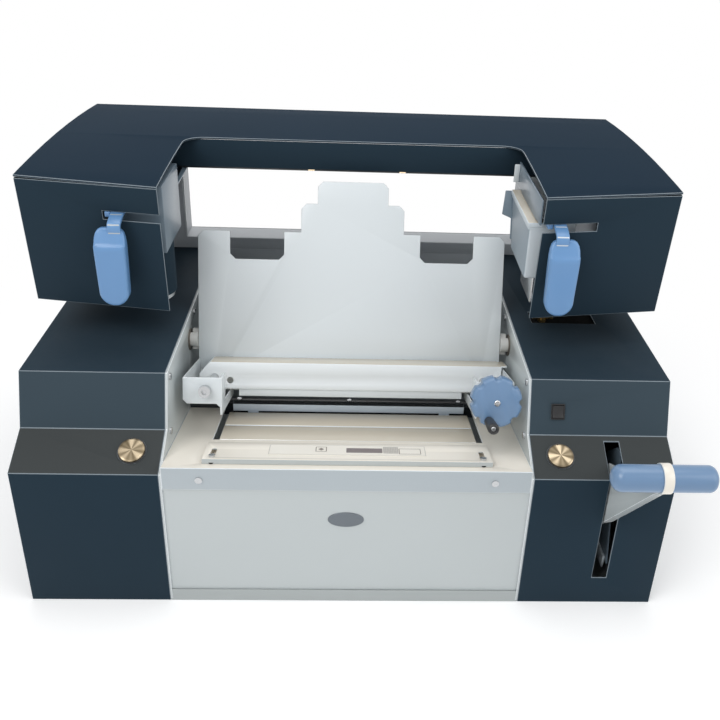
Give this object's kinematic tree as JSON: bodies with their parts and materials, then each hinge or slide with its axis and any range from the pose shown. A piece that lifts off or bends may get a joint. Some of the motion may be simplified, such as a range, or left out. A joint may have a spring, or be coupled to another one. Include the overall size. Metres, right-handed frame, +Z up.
{
  "type": "perfect binding machine",
  "caption": "Bench binder with a turning book clamp, a roughening carriage and a glue carriage under an arch, and a hand lever that lifts the cover table.",
  "frame": {"origin": "under the middle of the base pan", "axes": "+X to the operator's right, +Y to the back, +Z up"},
  "size_m": [0.9, 0.748, 0.582],
  "materials": {
    "slate_paint": "dark blue-grey powder coat, fine texture",
    "pale_paint": "light grey gloss enamel",
    "cream_paint": "warm light grey enamel",
    "dark_strip": "black semi-gloss enamel",
    "steel": "ground steel",
    "spun_steel": "spun and polished push-button cap",
    "aluminium": "satin anodised",
    "blue_plastic": "moulded, light blue",
    "black_plastic": "moulded, black",
    "brass": "turned brass",
    "rubber": "black rubber"
  },
  "bodies": {
    "base": {"base_pan": "pale_paint", "left_casing": "slate_paint", "right_casing": "slate_paint", "left_wall": "pale_paint", "right_wall": "pale_paint", "front_panel": "pale_paint", "badge_plate": "aluminium", "table_bed": "cream_paint", "rear_panel": "slate_paint", "rear_frame": "slate_paint", "window_lining": "slate_paint", "arch_top": "slate_paint", "left_tower": "slate_paint", "right_tower": "slate_paint", "arch_back": "slate_paint", "beam_face": "slate_paint", "beam_trim": "dark_strip", "carriage_rails": "steel", "pivot_bushes": "brass", "guide_beam": "steel", "anvil_strip": "dark_strip", "lever_bearings": "brass", "control_bezels": "black_plastic", "power_inlet": "black_plastic", "cable_gland": "brass", "screws": "steel"},
    "clamp": {"back_plate": "pale_paint", "pivot_pins": "steel", "left_bracket": "pale_paint", "right_bracket": "pale_paint", "tie_bar": "steel", "sync_belt": "rubber", "belt_cover": "pale_paint"},
    "jaw": {"jaw_bar": "aluminium"},
    "drive_screw": {"right_screw": "steel", "star_knob": "blue_plastic"},
    "idle_screw": {"left_screw": "steel"},
    "crank": {"crank_grip": "black_plastic"},
    "mill_unit": {"mill_carriage": "pale_paint", "mill_housing": "pale_paint", "mill_motor": "steel", "mill_guard": "slate_paint", "left_handle": "blue_plastic"},
    "mill_cutter": {"cutter": "steel"},
    "glue_unit": {"glue_carriage": "pale_paint", "glue_tank": "steel", "tank_lid": "cream_paint", "splash_guard": "slate_paint", "right_handle": "blue_plastic"},
    "glue_drum": {"glue_roller": "steel"},
    "lever": {"lever_arm": "pale_paint", "lever_shaft": "steel", "lever_grip": "blue_plastic"},
    "press": {"press_table": "aluminium"},
    "nip": {"nip_bar": "aluminium"},
    "button_left": {"left_button": "spun_steel"},
    "button_right": {"right_button": "spun_steel"},
    "switch_rocker": {"rocker": "black_plastic"},
    "ruler": {"ruler_bar": "cream_paint", "ruler_label": "aluminium"}
  },
  "joints": [
    {"name": "clamp_turn", "type": "hinge", "parent": "base", "child": "clamp", "pos_m": [0, -0.04, 0.292], "axis": [-1, 0, 0], "range_deg": [0, 162]},
    {"name": "knob_turn", "type": "hinge", "parent": "clamp", "child": "drive_screw", "pos_m": [0.2044, -0.22624, 0.30131], "axis": [0, -0.9511, 0.309], "range_deg": [0, 1801]},
    {"name": "jaw_slide", "type": "slide", "parent": "clamp", "child": "jaw", "axis": [0, -0.9511, 0.309], "range_m": [0, 0.04]},
    {"name": "idle_screw_turn", "type": "hinge", "parent": "clamp", "child": "idle_screw", "pos_m": [-0.2044, -0.1882, 0.28895], "axis": [0, -0.9511, 0.309], "range_deg": [0, 1801]},
    {"name": "crank_spin", "type": "hinge", "parent": "drive_screw", "child": "crank", "pos_m": [0.1939, -0.25317, 0.28314], "axis": [0, -0.9511, 0.309], "continuous": true},
    {"name": "mill_slide", "type": "slide", "parent": "base", "child": "mill_unit", "axis": [1, 0, 0], "range_m": [0, 0.475]},
    {"name": "cutter_spin", "type": "hinge", "parent": "mill_unit", "child": "mill_cutter", "pos_m": [-0.301, -0.057, 0.385], "axis": [0, 0, 1], "continuous": true},
    {"name": "glue_slide", "type": "slide", "parent": "base", "child": "glue_unit", "axis": [1, 0, 0], "range_m": [-0.475, 0.04]},
    {"name": "roller_spin", "type": "hinge", "parent": "glue_unit", "child": "glue_drum", "pos_m": [0.286, -0.053, 0.3992], "axis": [0, 1, 0], "continuous": true},
    {"name": "lever_turn", "type": "hinge", "parent": "base", "child": "lever", "pos_m": [0.368, -0.165, 0.07], "axis": [1, 0, 0], "range_deg": [-8, 38]},
    {"name": "press_lift", "type": "slide", "parent": "base", "child": "press", "axis": [0, 0, 1], "range_m": [-0.0014, 0.0062]},
    {"name": "nip_slide", "type": "slide", "parent": "base", "child": "nip", "axis": [0, 1, 0], "range_m": [-0.001, 0.0042]},
    {"name": "left_button_press", "type": "slide", "parent": "base", "child": "button_left", "axis": [0, 0.4531, -0.8915], "range_m": [0, 0.003], "stiffness_N_per_m": 500, "springref_m": -0.006},
    {"name": "right_button_press", "type": "slide", "parent": "base", "child": "button_right", "axis": [0, 0.4531, -0.8915], "range_m": [0, 0.003], "stiffness_N_per_m": 500, "springref_m": -0.006},
    {"name": "rocker_tilt", "type": "hinge", "parent": "base", "child": "switch_rocker", "pos_m": [0.292, -0.2202, 0.28581], "axis": [1, 0, 0], "range_deg": [-6, 6]},
    {"name": "ruler_slide", "type": "slide", "parent": "base", "child": "ruler", "axis": [0, -0.9787, 0.2055], "range_m": [0, 0.024]}
  ],
  "couplings": [
    {"joint": "knob_turn", "follows": "jaw_slide", "rad_per_m": 785.4},
    {"joint": "idle_screw_turn", "follows": "jaw_slide", "rad_per_m": 785.4},
    {"joint": "press_lift", "follows": "lever_turn", "m_per_rad": 0.009},
    {"joint": "nip_slide", "follows": "lever_turn", "m_per_rad": 0.006}
  ]
}
